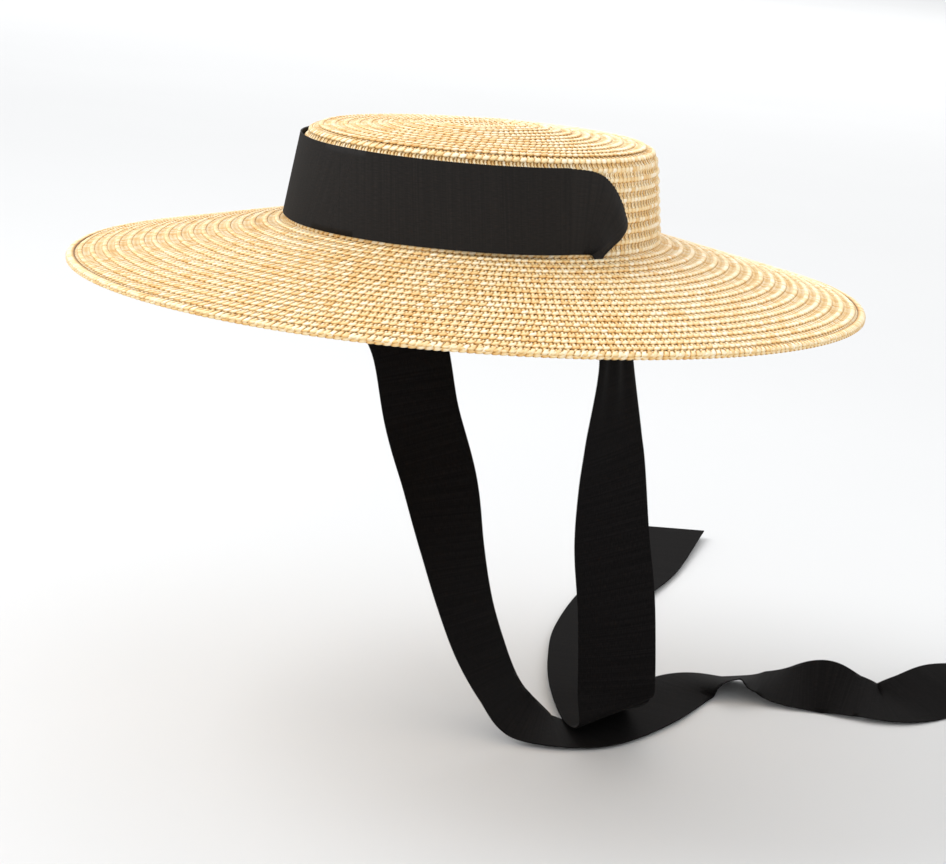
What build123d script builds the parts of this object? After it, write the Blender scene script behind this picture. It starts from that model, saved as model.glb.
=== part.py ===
"""Wide-brimmed straw boater with a ribbon that is threaded through the hat and hangs as two ties.

Millimetres. The origin is the centre of the head opening, where the crown meets the brim.
+Z runs up the crown, the front of the hat faces -Y, and the wearer's left is +X.
"""
from build123d import *
import os
from math import atan2, cos, degrees, radians, sin

# Crown: an oval built from four tangent arcs, two wide ones at the sides and two tighter ones
# at the front and back, so that every row of plait is an exact offset of the same oval.
crown_half_width = 88.0  # outside, side to side, at the head opening
oval_lengthening = 15.0  # the crown is longer than wide by this much at each end
end_arc_tightening = 11.0  # the front and back arcs are this much tighter than the half width
crown_side_height = 40.0  # straight part of the side
crown_taper = 5.3  # the side leans in by this much over its height
shoulder_radius = 7.0  # rolled edge between the side and the tip
tip_rise = 5.0  # the tip is slightly domed
tip_core_inset = 66.0  # where the sloping tip gives way to its flat centre

# Sewn wheat-straw plait: each row laps the next, so every row ends in a small step.
straw_thickness = 2.2
row_step = 0.5
side_row_count = 8
brim_width = 107.6  # along the level, from the crown to the edge
brim_drop = 25.0  # the brim slopes down by this much
brim_row_count = 18
edge_row_extra = 0.4  # the last row is bound over, so it is thicker on both faces

# Ribbon: one length of grosgrain, round the front of the crown and down through two slits.
ribbon_width = 41.0
ribbon_thickness = 1.0
ribbon_lift = 1.2  # lower edge of the band above the brim
ribbon_gather = 7.0  # the ribbon is bunched by this much to go through a slit
ribbon_clearance = 0.3
slit_width = 2.2
slit_end_room = 1.0
band_past_side = 13.0  # the band runs on past the middle of each side by this much

# Sweatband, its cover tape at the back, the blank label and the sewing.
sweatband_height = 28.0
sweatband_thickness = 1.0
sweatband_clearance = 0.2
join_tape_width = 16.0
join_tape_thickness = 0.6
label_width = 42.0
label_height = 20.0
label_thickness = 0.4
stitch_length = 4.0
stitch_thickness = 0.5
stitch_spacing = 8.0
stitch_above_edge = 2.5
tack_length = 2.6
tack_clearance = 0.1
tack_heights = (0.35, 0.7)  # shares of the ribbon's width

# The oval's arcs, all worked out from the crown.
end_radius = crown_half_width - end_arc_tightening
crown_half_length = crown_half_width + oval_lengthening
end_centre_y = crown_half_length - end_radius
side_radius = (crown_half_width**2 - end_radius**2 + end_centre_y**2) / (2 * end_arc_tightening)
side_centre_x = side_radius - crown_half_width
side_half_angle = degrees(atan2(end_centre_y, side_centre_x))
end_half_angle = 90 - side_half_angle

row_proud = row_step + ribbon_clearance
band_inset = crown_taper / crown_side_height  # how far the side leans in for each millimetre up
slit_length = ribbon_width - ribbon_gather + 2 * slit_end_room
slit_x = crown_half_width + row_proud + slit_width / 2


def arc_sweep(profile, centre, base_radius, start, span):
    """Turn a face drawn as (distance outside the oval, height) about one of the oval's centres."""
    turned = revolve(Pos(base_radius, 0, 0) * profile, Axis.Z, span)
    return Pos(centre[0], centre[1], 0) * Rot(0, 0, start) * turned


def oval_ring(profile):
    """Carry a face right round the oval."""
    ring = arc_sweep(profile, (-side_centre_x, 0), side_radius, -side_half_angle, 2 * side_half_angle)
    ring += arc_sweep(profile, (side_centre_x, 0), side_radius, 180 - side_half_angle, 2 * side_half_angle)
    ring += arc_sweep(profile, (0, end_centre_y), end_radius, 90 - end_half_angle, 2 * end_half_angle)
    ring += arc_sweep(profile, (0, -end_centre_y), end_radius, 270 - end_half_angle, 2 * end_half_angle)
    return ring


def oval_face(offset):
    """The flat oval at an offset from the crown's base oval."""
    wide = side_radius + offset
    tight = end_radius + offset
    outline = Curve()
    for centre, radius, middle, half in (
        ((-side_centre_x, 0), wide, 0, side_half_angle),
        ((0, end_centre_y), tight, 90, end_half_angle),
        ((side_centre_x, 0), wide, 180, side_half_angle),
        ((0, -end_centre_y), tight, 270, end_half_angle),
    ):
        outline += CenterArc(centre, radius, middle - half, 2 * half)
    return make_face(outline)


def section(points):
    """A closed polygon of (distance outside the oval, height), standing on the XZ plane."""
    return make_face(Plane.XZ * Polyline(*points, close=True))


def side_point(arc_length, offset):
    """A place on the oval, measured round from the middle of the back, and its outward angle."""
    end_run = radians(end_half_angle) * (end_radius + offset)
    side_run = radians(2 * side_half_angle) * (side_radius + offset)
    lap = 2 * (2 * end_run + side_run)
    run = arc_length % lap
    legs = (
        ((0, end_centre_y), end_radius, 90, -1, end_run),
        ((-side_centre_x, 0), side_radius, side_half_angle, -1, side_run),
        ((0, -end_centre_y), end_radius, -side_half_angle, -1, 2 * end_run),
        ((side_centre_x, 0), side_radius, -90 - end_half_angle, -1, side_run),
        ((0, end_centre_y), end_radius, -180 - side_half_angle, -1, end_run),
    )
    for centre, radius, start, turn, length in legs:
        if run <= length:
            break
        run -= length
    angle = start + turn * degrees(run / (radius + offset))
    reach = radius + offset
    return centre[0] + reach * cos(radians(angle)), centre[1] + reach * sin(radians(angle)), angle


def oval_length(offset):
    """Length round the oval at an offset."""
    ends = 4 * radians(end_half_angle) * (end_radius + offset)
    return ends + 4 * radians(side_half_angle) * (side_radius + offset)


def crown_side():
    """The side of the crown, leaning in, each row's lower edge standing proud of the one below."""
    row_height = crown_side_height / side_row_count
    points = [(-straw_thickness, 0)]
    for row in range(side_row_count):
        low = row * row_height
        high = low + row_height
        points += [(row_step - low * band_inset, low), (-high * band_inset, high)]
    points.append((-crown_taper - straw_thickness, crown_side_height))
    return oval_ring(section(points))


def crown_tip():
    """The rolled shoulder and the slightly domed top of the crown, closed by a flat centre."""
    inner_radius = shoulder_radius - straw_thickness
    roll_centre = (-crown_taper - shoulder_radius, crown_side_height)
    roof = crown_side_height + shoulder_radius
    core = (-tip_core_inset, roof + tip_rise)
    outline = Curve() + [
        CenterArc(roll_centre, shoulder_radius, 0, 90),
        Line((roll_centre[0], roof), core),
        Line(core, (core[0], core[1] - straw_thickness)),
        Line((core[0], core[1] - straw_thickness), (roll_centre[0], roof - straw_thickness)),
        CenterArc(roll_centre, inner_radius, 0, 90),
        Line((roll_centre[0] + inner_radius, crown_side_height), (-crown_taper, crown_side_height)),
    ]
    tip = oval_ring(make_face(Plane.XZ * outline))
    centre = extrude(oval_face(-tip_core_inset), straw_thickness)
    return tip + Pos(0, 0, core[1] - straw_thickness) * centre


def brim_top(distance):
    """Height of the brim's upper face at a distance out from the crown."""
    return -brim_drop * distance / brim_width


def slit_cutter(side):
    """A straight slit beside the foot of the crown, deep enough to go through the brim."""
    depth = 4 * straw_thickness
    return Pos(side * slit_x, 0, 0) * Box(slit_width, slit_length, depth)


def brim():
    """The sloping brim, its rows stepping down from the crown, with a slit for each tie."""
    row_width = brim_width / brim_row_count
    points = [(-straw_thickness, -straw_thickness), (-straw_thickness, 0)]
    for row in range(brim_row_count - 1):
        near = row * row_width
        far = near + row_width
        points += [(near, brim_top(near)), (far, brim_top(far) + row_step)]
    points += [(far, brim_top(far) - straw_thickness), (0, -straw_thickness)]
    sheet = oval_ring(section(points))
    return sheet - slit_cutter(1) - slit_cutter(-1)


def brim_edge_row():
    """The outermost row, bound over, so thicker above and below than the brim beside it."""
    near = brim_width * (brim_row_count - 1) / brim_row_count
    top = edge_row_extra
    bottom = -straw_thickness - edge_row_extra
    return oval_ring(
        section(
            [
                (near, brim_top(near) + top),
                (brim_width, brim_top(brim_width) + top),
                (brim_width, brim_top(brim_width) + bottom),
                (near, brim_top(near) + bottom),
            ]
        )
    )


def ribbon_band():
    """The ribbon on the front of the crown, from past the middle of one side to the other."""
    near = row_proud
    top = ribbon_lift + ribbon_width
    lean = ribbon_width * band_inset
    profile = section(
        [
            (near, ribbon_lift),
            (near + ribbon_thickness, ribbon_lift),
            (near + ribbon_thickness - lean, top),
            (near - lean, top),
        ]
    )
    past = degrees(band_past_side / side_radius)
    run = side_half_angle + past
    band = arc_sweep(profile, (0, -end_centre_y), end_radius, 270 - end_half_angle, 2 * end_half_angle)
    band += arc_sweep(profile, (-side_centre_x, 0), side_radius, -side_half_angle, run)
    band += arc_sweep(profile, (side_centre_x, 0), side_radius, 180 - past, run)
    return band


# Ties. Each station is (x from the slit, y, z, share of the full width, facing): the ribbon's
# centre, how far it has spread, and the way its face looks. They are placed by hand, and the
# ties trail on a floor 262 below the head opening. A share of None is the bunched width.
left_front = (0.67, -0.74, 0)
up = (0, 0, 1)
left_tie_route = [
    (0, 0, ribbon_lift, None, (1, 0, 0)),
    (0, 0, -8, None, (1, 0, 0)),
    (2, 3, -26, 0.88, (0.98, 0.17, 0)),
    (4.5, 6, -50, 0.92, (0.97, 0.26, 0)),
    (4, 11, -90, 1, (1, -0.03, 0)),
    (2, 16, -112, 1, (0.97, -0.24, 0)),
    (-2, 26, -147, 1, (0.88, -0.47, 0)),
    (-4, 37, -180, 1, (0.81, -0.59, 0)),
    (-8, 47, -208, 1, (0.77, -0.64, 0)),
    (-10, 53, -234, 1, (0.75, -0.66, 0)),
    (-10, 54, -250, 1, (0.85, -0.35, -0.39)),
    (-17, 58, -256, 1, (0.45, -0.25, -0.85)),
    (-37, 73, -258, 1, (0.05, 0.03, -1)),
    (-70, 103, -258.3, 1, (-0.02, 0.02, -1)),
    (-105, 142, -260, 1, (-0.05, 0.02, -1)),
    (-142, 190, -261, 1, (-0.03, 0, -1)),
    (-184, 262, -260.5, 1, (0.04, -0.03, -1)),
    (-217, 338, -261, 1, (0.02, 0.02, -1)),
    (-268, 433, -259, 1, (0.05, 0.06, -1)),
]
right_tie_route = [
    (0, 0, ribbon_lift, None, (1, 0, 0)),
    (0, 0, -8, None, (1, 0, 0)),
    (6, 5, -26, 0.88, (0.98, -0.17, 0)),
    (17, 13, -50, 0.96, (0.88, -0.47, 0)),
    (30, 21, -74, 1, (0.72, -0.69, 0)),
    (45, 20, -110, 1, left_front),
    (65, 17, -141, 1, (0.82, -0.54, 0.21)),
    (81, 13.5, -171, 1, (0.94, -0.22, 0.27)),
    (94.5, 12.5, -198, 1, (0.93, -0.03, 0.35)),
    (107, 14, -221, 1, (0.89, 0.05, 0.46)),
    (120, 17, -240, 1, (0.77, 0.13, 0.62)),
    (132, 22.5, -253, 1, (0.59, 0.04, 0.81)),
    (148, 36, -259.5, 1, (0.1, 0, 1)),
    (156, 57, -261, 1, up),
    (150, 104, -261, 1, up),
    (136, 158, -260.5, 1, up),
    (149, 183, -256, 1, (-0.2, 0.21, 0.96)),
    (163, 193, -256, 1, up),
    (179, 200, -254.5, 1, (0.21, -0.23, 0.95)),
    (195, 210, -252.5, 1, (0.33, -0.37, 0.87)),
    (211, 219, -255, 1, (0.2, -0.21, 0.95)),
    (225, 229, -257, 1, (0.14, -0.15, 0.97)),
    (231, 250, -256, 1, (0.3, -0.1, 0.94)),
    (232, 282, -254, 1, (0.3, -0.1, 0.94)),
    (237, 318, -256, 1, (0.2, -0.1, 0.97)),
]


def tie(route, side):
    """A hanging ribbon: straight-sided sections across its route, joined by ruled faces."""
    slit_share = (ribbon_width - ribbon_gather) / ribbon_width
    places = [Vector(side * slit_x + x, y, z) for x, y, z, share, facing in route]
    faces = []
    for number, (x, y, z, share, facing) in enumerate(route):
        before = places[max(number - 1, 0)]
        after = places[min(number + 1, len(places) - 1)]
        along = (after - before).normalized()
        across = Vector(*facing).cross(along).normalized()
        through = along.cross(across)
        half = across * ribbon_width * (share or slit_share) / 2
        skin = through * ribbon_thickness / 2
        here = places[number]
        corners = (here + half + skin, here - half + skin, here - half - skin, here + half - skin)
        faces.append(make_face(Polyline(*corners, close=True)))
    return Part() + [loft(pair, ruled=True) for pair in zip(faces, faces[1:])]


def inside_face(height):
    """Distance of the crown's inner face from the base oval, at a height."""
    return -straw_thickness - height * band_inset


def lining_section(low, high, gap, thickness):
    """A strip that stands against the inside of the crown, leaning with it."""
    return section(
        [
            (inside_face(low) - gap, low),
            (inside_face(high) - gap, high),
            (inside_face(high) - gap - thickness, high),
            (inside_face(low) - gap - thickness, low),
        ]
    )


def sweatband():
    """A cotton band inside the crown, as deep as its height, that rests on the head."""
    return oval_ring(lining_section(0, sweatband_height, sweatband_clearance, sweatband_thickness))


def at_the_back(profile, width):
    """A short length of lining centred on the middle of the back."""
    half = degrees(width / 2 / end_radius)
    return arc_sweep(profile, (0, end_centre_y), end_radius, 90 - half, 2 * half)


def sweatband_join_tape():
    """The strip that covers the sweatband's butted ends at the middle of the back."""
    gap = sweatband_clearance + sweatband_thickness
    profile = lining_section(0, sweatband_height, gap, join_tape_thickness)
    return at_the_back(profile, join_tape_width)


def blank_label():
    """A woven label with nothing on it, sewn over the tape."""
    gap = sweatband_clearance + sweatband_thickness + join_tape_thickness
    middle = sweatband_height / 2
    profile = lining_section(middle - label_height / 2, middle + label_height / 2, gap, label_thickness)
    return at_the_back(profile, label_width)


def sweatband_stitching():
    """Running stitches round the sweatband near its lower edge, clear of the tape at the back."""
    offset = inside_face(stitch_above_edge) - sweatband_clearance - sweatband_thickness
    offset -= stitch_thickness / 2 + label_thickness / 2
    lap = oval_length(offset)
    count = round(lap / stitch_spacing)
    clear = join_tape_width / 2 + stitch_length
    stitches = []
    for number in range(count):
        run = lap * (number + 0.5) / count
        if clear < run < lap - clear:
            x, y, angle = side_point(run, offset)
            bar = Box(stitch_thickness, stitch_length, stitch_thickness)
            stitches.append(Pos(x, y, stitch_above_edge) * Rot(0, 0, angle) * bar)
    return Compound(children=stitches)


def ribbon_tacks():
    """Four small stitches that hold the ribbon to the crown, two near each slit."""
    tacks = []
    for side in (1, -1):
        for share in tack_heights:
            height = ribbon_lift + ribbon_width * share
            outside = crown_half_width + row_proud + ribbon_thickness + tack_clearance
            x = outside - (height - ribbon_lift) * band_inset + stitch_thickness / 2
            lean = degrees(atan2(-side * band_inset, 1))
            bar = Box(stitch_thickness, stitch_thickness, tack_length)
            tacks.append(Pos(side * x, 0, height) * Rot(0, lean, 0) * bar)
    return Compound(children=tacks)


nodes = {
    "crown_tip": crown_tip(),
    "crown_side": crown_side(),
    "brim": brim(),
    "brim_edge_row": brim_edge_row(),
    "ribbon_band": ribbon_band(),
    "ribbon_tie_left": tie(left_tie_route, 1),
    "ribbon_tie_right": tie(right_tie_route, -1),
    "sweatband": sweatband(),
    "sweatband_join_tape": sweatband_join_tape(),
    "blank_label": blank_label(),
    "sweatband_stitching": sweatband_stitching(),
    "ribbon_tacks": ribbon_tacks(),
}

os.makedirs("parts", exist_ok=True)
for name, shape in nodes.items():
    export_step(shape, f"parts/{name}.step")
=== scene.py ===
import random
from math import atan2, cos, hypot, pi, radians, sin

import bpy
import bmesh
from mathutils import Matrix, Vector


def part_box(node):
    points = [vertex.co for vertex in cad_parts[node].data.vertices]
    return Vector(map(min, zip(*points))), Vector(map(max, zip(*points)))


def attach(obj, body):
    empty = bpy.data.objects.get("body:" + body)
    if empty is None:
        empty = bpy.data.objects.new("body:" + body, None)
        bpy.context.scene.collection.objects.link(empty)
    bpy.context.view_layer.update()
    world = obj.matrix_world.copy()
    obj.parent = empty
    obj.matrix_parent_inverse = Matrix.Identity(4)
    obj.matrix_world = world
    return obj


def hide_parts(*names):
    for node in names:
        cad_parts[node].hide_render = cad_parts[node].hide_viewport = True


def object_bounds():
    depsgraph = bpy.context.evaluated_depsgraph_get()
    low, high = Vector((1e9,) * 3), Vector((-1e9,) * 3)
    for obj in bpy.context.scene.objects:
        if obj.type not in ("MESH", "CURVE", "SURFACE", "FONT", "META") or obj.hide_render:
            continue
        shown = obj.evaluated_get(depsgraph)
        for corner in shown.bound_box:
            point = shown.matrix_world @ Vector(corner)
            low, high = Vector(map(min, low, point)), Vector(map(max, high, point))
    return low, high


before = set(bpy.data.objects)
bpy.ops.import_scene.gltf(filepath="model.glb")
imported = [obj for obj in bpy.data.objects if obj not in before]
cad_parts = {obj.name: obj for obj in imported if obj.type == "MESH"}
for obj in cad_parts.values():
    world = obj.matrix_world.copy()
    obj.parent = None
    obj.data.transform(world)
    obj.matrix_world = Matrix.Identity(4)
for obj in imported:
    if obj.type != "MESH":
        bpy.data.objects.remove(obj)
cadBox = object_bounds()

# Wide straw boater with a ribbon that is threaded through the hat and hangs as two ties.
# Metres. The front faces -Y and the crown points up.
# Lengths in the dictionaries are in millimetres, unless they are written with mm.
mm = 0.001
hatScene = bpy.context.scene


# camera: distances in metres, angles in degrees
view = {
    "azimuth": 42.0,
    "elevation": 7.83,
    "distance": 1.3,
    "roll": 5.28,
    "lens": 97.2,
    "sensorWidth": 36,
    "clipEnd": 400,
    "aimRight": 0.0014,  # how far the hat's origin stands from the middle of the view, as tangents
    "aimUp": 0.0804,
}


def addCamera():
    turn, lift = radians(view["azimuth"]), radians(view["elevation"])
    roll = radians(view["roll"])
    back = Vector((sin(turn) * cos(lift), -cos(turn) * cos(lift), sin(lift)))
    level = Vector((cos(turn), sin(turn), 0))
    upright = back.cross(level)
    right = cos(roll) * level + sin(roll) * upright
    up = cos(roll) * upright - sin(roll) * level
    aim = Vector((view["aimRight"], view["aimUp"], -1))
    swing = Vector((0, 0, -1)).rotation_difference(aim).to_matrix()
    pose = (swing @ Matrix((right, up, back))).transposed().to_4x4()
    pose.translation = back * view["distance"]
    bpy.ops.object.camera_add()
    camera = bpy.context.object
    camera.name = "hatCamera"
    camera.matrix_world = pose
    camera.data.lens = view["lens"]
    camera.data.sensor_width = view["sensorWidth"]
    camera.data.clip_end = view["clipEnd"]
    hatScene.camera = camera


addCamera()
print("camera set")


# helpers that any of the pieces may use
def deselectAll():
    if bpy.context.object and bpy.context.object.mode != "OBJECT":
        bpy.ops.object.mode_set(mode="OBJECT")
    bpy.ops.object.select_all(action="DESELECT")


def activate(piece):
    deselectAll()
    piece.select_set(True)
    bpy.context.view_layer.objects.active = piece


def selectWhere(piece, vertTest=None, edgeTest=None):
    # in edit mode: selects the vertices or the edges that pass the test, and nothing else
    activate(piece)
    bpy.ops.object.mode_set(mode="EDIT")
    bpy.ops.mesh.select_mode(type="VERT" if vertTest else "EDGE")
    bpy.ops.mesh.select_all(action="DESELECT")
    mesh = bmesh.from_edit_mesh(piece.data)
    for part in mesh.verts if vertTest else mesh.edges:
        part.select_set(bool((vertTest or edgeTest)(part)))
    mesh.select_flush_mode()
    bmesh.update_edit_mesh(piece.data)


def applyModifiers(piece):
    activate(piece)
    for modifier in list(piece.modifiers):
        bpy.ops.object.modifier_apply(modifier=modifier.name)


def faceOutwards(piece):
    activate(piece)
    bpy.ops.object.mode_set(mode="EDIT")
    bpy.ops.mesh.select_all(action="SELECT")
    bpy.ops.mesh.normals_make_consistent(inside=False)
    bpy.ops.object.mode_set(mode="OBJECT")
    bpy.ops.object.shade_smooth()


def copyOf(piece, name):
    twin = piece.copy()
    twin.data = piece.data.copy()
    twin.name = name
    hatScene.collection.objects.link(twin)
    return twin


def joinPieces(pieces, name):
    deselectAll()
    for piece in pieces:
        piece.select_set(True)
    bpy.context.view_layer.objects.active = pieces[0]
    if len(pieces) > 1:
        bpy.ops.object.join()
    pieces[0].name = name
    pieces[0].data.name = name
    return pieces[0]


def removePiece(piece):
    bpy.data.objects.remove(piece, do_unlink=True)


def hexColour(code):
    def linear(part):
        value = int(part, 16) / 255
        return value / 12.92 if value <= 0.04045 else ((value + 0.055) / 1.055) ** 2.4

    return (linear(code[1:3]), linear(code[3:5]), linear(code[5:7]), 1)


def addNode(tree, kind, links=None, ramp=None, **settings):
    # one node: settings are its properties, links name an input and give a value or another socket
    node = tree.nodes.new("ShaderNode" + kind)
    for key, value in settings.items():
        setattr(node, key, value)
    for key, value in (links or {}).items():
        socket = node.inputs[key]
        if isinstance(value, bpy.types.NodeSocket):
            tree.links.new(value, socket)
        else:
            socket.default_value = value
    if ramp:
        stops = node.color_ramp.elements
        while len(stops) < len(ramp):
            stops.new(0.5)
        for stop, (place, code) in zip(stops, ramp):
            stop.position = place
            stop.color = hexColour(code)
    return node


def newMaterial(name):
    material = bpy.data.materials.new(name)
    material.use_nodes = True
    tree = material.node_tree
    return material, tree, tree.nodes["Principled BSDF"]


# the oval that every row of plait follows: two wide arcs and two tighter ones
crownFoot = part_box("crown_side")[1]
rowStep = 0.5 * mm  # each row's outer edge stands this far above the next row
oval = {
    "halfWidth": crownFoot[0] - rowStep,
    "halfLength": crownFoot[1] - rowStep,
    "endTightening": 11 * mm,  # the front and back arcs are this much tighter than the half width
    "coreFrom": 35 * mm,  # how far in the oval begins to turn into a straight core with round ends
    "coreBlend": 30 * mm,
    "steps": 240,
}
endRadius = oval["halfWidth"] - oval["endTightening"]
endCentre = oval["halfLength"] - endRadius
sideRadius = (oval["halfWidth"] ** 2 - endRadius**2 + endCentre**2) / (2 * oval["endTightening"])
sideCentre = sideRadius - oval["halfWidth"]
sideHalfAngle = atan2(endCentre, sideCentre)
oddLength = oval["halfLength"] - oval["halfWidth"]


def ovalPoint(facing, offset):
    # the place on the oval whose outward normal is at the angle facing,
    # at an offset from the crown's foot
    across, along = cos(facing), sin(facing)
    turn = atan2(abs(along), abs(across))
    if turn < sideHalfAngle:
        reach = sideRadius + offset
        x = reach * across - (sideCentre if across > 0 else -sideCentre)
        y = reach * along
    else:
        reach = endRadius + offset
        x = reach * across
        y = reach * along + (endCentre if along > 0 else -endCentre)
    # near the middle of the tip the oval turns into the core
    share = min(max((-offset - oval["coreFrom"]) / oval["coreBlend"], 0), 1)
    share = share * share * (3 - 2 * share)
    plain = oval["halfWidth"] + offset
    coreX = plain * across
    coreY = plain * along + (oddLength if along > 0 else -oddLength)
    return Vector((x + (coreX - x) * share, y + (coreY - y) * share, 0))


def ovalLoop(offset, height):
    # clockwise from above, so that the plait's outer edge is on the left of its run
    count = oval["steps"]
    loop = [ovalPoint(pi / 2 - 2 * pi * (n + 0.5) / count, offset) for n in range(count)]
    return [Vector((p.x, p.y, height)) for p in loop]


def loopLength(points):
    return sum((a - b).length for a, b in zip(points, points[1:] + points[:1]))


def guideCurve(name, points):
    # a closed line that a row of plait is bent along
    data = bpy.data.curves.new(name, "CURVE")
    data.dimensions = "3D"
    data.twist_mode = "Z_UP"
    spline = data.splines.new("POLY")
    spline.points.add(len(points) - 1)
    for place, point in zip(spline.points, points):
        place.co = (*point, 1)
    spline.use_cyclic_u = True
    guide = bpy.data.objects.new(name, data)
    hatScene.collection.objects.link(guide)
    return guide


# straw plait, in millimetres
straw = {
    "pitch": 3.6,  # one fold of the plait's outer edge to the next
    "halfWidth": 3.6,  # half the plait, edge to edge
    "lap": 0.6,  # how far each edge runs under or over the next row
    "foldWidth": 3.0,
    "foldThickness": 1.5,
    "foldLength": 4.6,
    "foldSkew": 0.45,  # the fold's ends are turned this far out and in
    "foldRise": 0.22,  # and this far up and down
    "foldLift": 0.1,
    "foldShares": (0.5, 0.9, 1.0, 0.9, 0.5),  # how full the fold is at each ring
    "splintWidth": 2.0,
    "splintThickness": 0.7,
    "splintReach": 2.1,  # how far a splint runs out from the middle of the row
    "tuck": 1.4,  # how far a splint runs on under the row before
    "lean": 0.7,  # sideways run of each half of a splint's chevron
    "bendRing": 3,  # the ring at the chevron's point
    "splintRises": (0.16, -0.3, 0.14, -0.2, 0.14, -0.3),
    # painted shade on each ring of a straw, 0 in the light and 1 where it runs down into the gaps
    "foldGapShades": (0.66, 0.2, 0.04, 0.2, 0.66),
    "foldEdgeShade": 0.4,
    "splintGapShades": (0.4, 0.95, 0.1, 0.3, 0.0, 0.8),
    # each splint of a repeat: place along it, drop, and how much more painted shade the splint's
    # edges get
    "splints": ((-0.25, -0.04, 0.5), (0.25, 0.24, 0.95)),
}


def flatStraw(name, sides, length, stations):
    # a flattened length of straw along Y, one unit wide and thick, with stations - 1 spans
    deselectAll()
    bpy.ops.mesh.primitive_cylinder_add(vertices=sides, radius=0.5, depth=length)
    piece = bpy.context.object
    piece.name = name
    # stood on its edge: across becomes X, along becomes Y
    piece.data.transform(Matrix(((0, 1, 0, 0), (0, 0, 1, 0), (1, 0, 0, 0), (0, 0, 0, 1))))
    selectWhere(piece, edgeTest=lambda e: abs(e.verts[0].co.y - e.verts[1].co.y) > length / 2)
    bpy.ops.mesh.subdivide(number_cuts=stations - 2)
    return piece


def moveStation(piece, y, near, scale, shift):
    # one ring of the straw is slimmed and moved
    selectWhere(piece, vertTest=lambda v: abs(v.co.y - y) < near)
    bpy.ops.transform.resize(value=(scale[0], 1, scale[1]), center_override=(0, y, 0))
    bpy.ops.transform.translate(value=shift)


def markGapShade(piece, gapShades, edgeShade):
    # painted shade: rings of vertices down the straw get their share of it, and the straw's edges
    # more
    length = len(gapShades) - 1
    low = min(v.co.y for v in piece.data.vertices)
    high = max(v.co.y for v in piece.data.vertices)
    depth = piece.data.attributes.new("strawGapShade", "FLOAT", "POINT")
    rings = {}
    for vertex in piece.data.vertices:
        ring = round((vertex.co.y - low) / (high - low) * length)
        rings.setdefault(ring, []).append(vertex)
    for ring, vertices in rings.items():
        middle = sum(v.co.x for v in vertices) / len(vertices)
        reach = max(abs(v.co.x - middle) for v in vertices)
        for vertex in vertices:
            side = abs(vertex.co.x - middle) / reach
            depth.data[vertex.index].value = min(gapShades[ring] + edgeShade * side**2, 1)


def edgeStraw():
    # the straw where it folds round the plait's outer edge: a short bead that lies along the row
    length = straw["foldLength"] * mm
    bead = flatStraw("foldStraw", 6, length, 5)
    wide, thick = straw["foldWidth"] * mm, straw["foldThickness"] * mm
    skew, rise = straw["foldSkew"] * mm, straw["foldRise"] * mm
    for number, share in enumerate(straw["foldShares"]):
        turn = number / 2 - 1
        size = (wide * share, thick * share)
        moveStation(bead, length * turn / 2, length / 10, size, (-skew * turn, 0, -rise * turn))
    bpy.ops.object.mode_set(mode="OBJECT")
    markGapShade(bead, straw["foldGapShades"], straw["foldEdgeShade"])
    bead.data.transform(Matrix.Rotation(-pi / 2, 4, "Z"))
    out = straw["halfWidth"] * mm - wide / 2
    bead.data.transform(Matrix.Translation((0, out, straw["foldLift"] * mm)))
    return bead


def bodyStraw(place, drop, edgeShade):
    # a narrow splint across the plait, bent into a chevron, its inner end under the row before
    start, end = -(straw["halfWidth"] + straw["tuck"]) * mm, straw["splintReach"] * mm
    length = end - start
    rises = straw["splintRises"]
    splint = flatStraw("bodyStraw", 4, length, len(rises))
    size = (straw["splintWidth"] * mm, straw["splintThickness"] * mm)
    for number, rise in enumerate(rises):
        y = length * (number / (len(rises) - 1) - 0.5)
        bent = straw["lean"] * mm * (1 - abs(number - straw["bendRing"]) / 2)
        moveStation(splint, y, length / 14, size, (bent, 0, rise * mm))
    bpy.ops.object.mode_set(mode="OBJECT")
    markGapShade(splint, straw["splintGapShades"], edgeShade)
    along = place * straw["pitch"] * mm
    splint.data.transform(Matrix.Translation((along, (start + end) / 2, -drop * mm)))
    return splint


def plaitCell():
    # one repeat of the plait: one fold at its outer edge and two splints across it
    straws = [edgeStraw()] + [bodyStraw(*splint) for splint in straw["splints"]]
    for number, piece in enumerate(straws):
        which = piece.data.attributes.new("splintTone", "FLOAT", "POINT")
        which.data.foreach_set("value", [float(number)] * len(piece.data.vertices))
    whole = joinPieces(straws, "plaitCell")
    faceOutwards(whole)
    return whole


toneDraw = random.Random(11)
phaseDraw = random.Random(5)  # where along its row each row of plait begins


def toneStraws(piece, vertsEach):
    # every straw of every repeat gets its own tone, in place of its number in the repeat
    tone = piece.data.attributes["splintTone"]
    values = [0.0] * len(tone.data)
    tone.data.foreach_get("value", values)
    kinds = int(max(values)) + 1
    repeats = len(values) // vertsEach
    tones = [[toneDraw.random() for kind in range(kinds)] for repeat in range(repeats)]
    values = [tones[n // vertsEach][int(value)] for n, value in enumerate(values)]
    tone.data.foreach_set("value", values)


def repeatStraws(piece, count, shift, loop=None):
    # copies of a length of plait, each one shift further on, bent along the loop if there is one
    vertsEach = len(piece.data.vertices)
    repeat = piece.modifiers.new("repeat", "ARRAY")
    repeat.count = count
    repeat.use_relative_offset = False
    repeat.use_constant_offset = True
    repeat.constant_offset_displace = shift
    if loop:
        guide = guideCurve(piece.name + "Guide", loop)
        follow = piece.modifiers.new("follow", "CURVE")
        follow.object = guide
    applyModifiers(piece)
    if loop:
        removePiece(guide)
    toneStraws(piece, vertsEach)


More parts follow.
